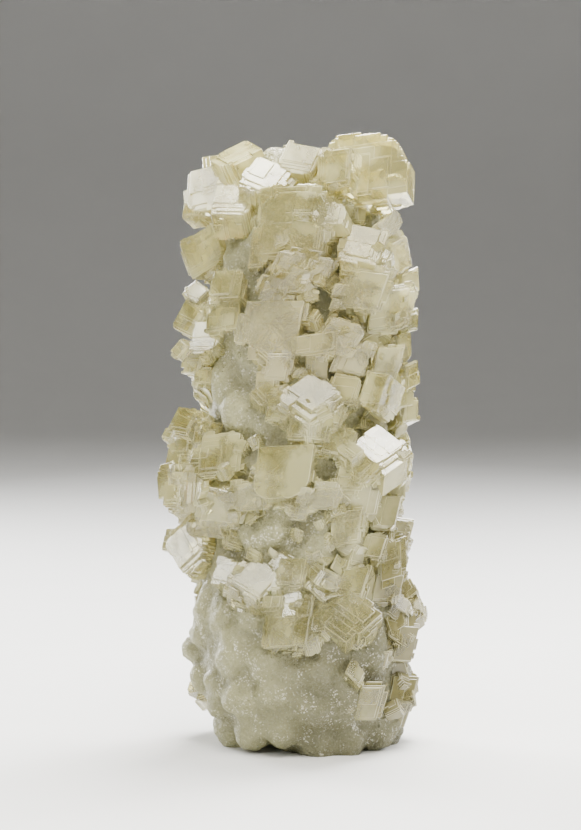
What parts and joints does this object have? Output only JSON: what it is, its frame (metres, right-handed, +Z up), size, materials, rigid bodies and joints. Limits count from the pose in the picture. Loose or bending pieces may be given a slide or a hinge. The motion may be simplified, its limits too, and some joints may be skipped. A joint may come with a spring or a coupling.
{
  "type": "mineral specimen",
  "caption": "Lumpy chalcedony stalactite standing upright, grown over with stepped, milky calcite rhombs that are larger at the top.",
  "frame": {"origin": "middle of the flat cut base, on the surface that the specimen stands on", "axes": "+Z up along the stalactite, +X to the right of the display side, -Y out of the display side"},
  "size_m": [0.0661, 0.0614, 0.1496],
  "materials": {
    "chalcedony": "sugary druse over smooth lumps, grey-green white",
    "calcite": "glassy cleavage faces, milky and translucent, pale honey"
  },
  "bodies": {
    "root": {"chalcedony_stalactite": "chalcedony", "calcite_back": "calcite", "calcite_back_10": "calcite", "calcite_back_11": "calcite", "calcite_back_12": "calcite", "calcite_back_13": "calcite", "calcite_back_14": "calcite", "calcite_back_15": "calcite", "calcite_back_16": "calcite", "calcite_back_17": "calcite", "calcite_back_18": "calcite", "calcite_back_2": "calcite", "calcite_back_3": "calcite", "calcite_back_4": "calcite", "calcite_back_5": "calcite", "calcite_back_6": "calcite", "calcite_back_7": "calcite", "calcite_back_8": "calcite", "calcite_back_9": "calcite", "calcite_base_right": "calcite", "calcite_base_right_2": "calcite", "calcite_crown": "calcite", "calcite_crown_2": "calcite", "calcite_left_shoulder": "calcite", "calcite_right_foot": "calcite"}
  },
  "joints": []
}
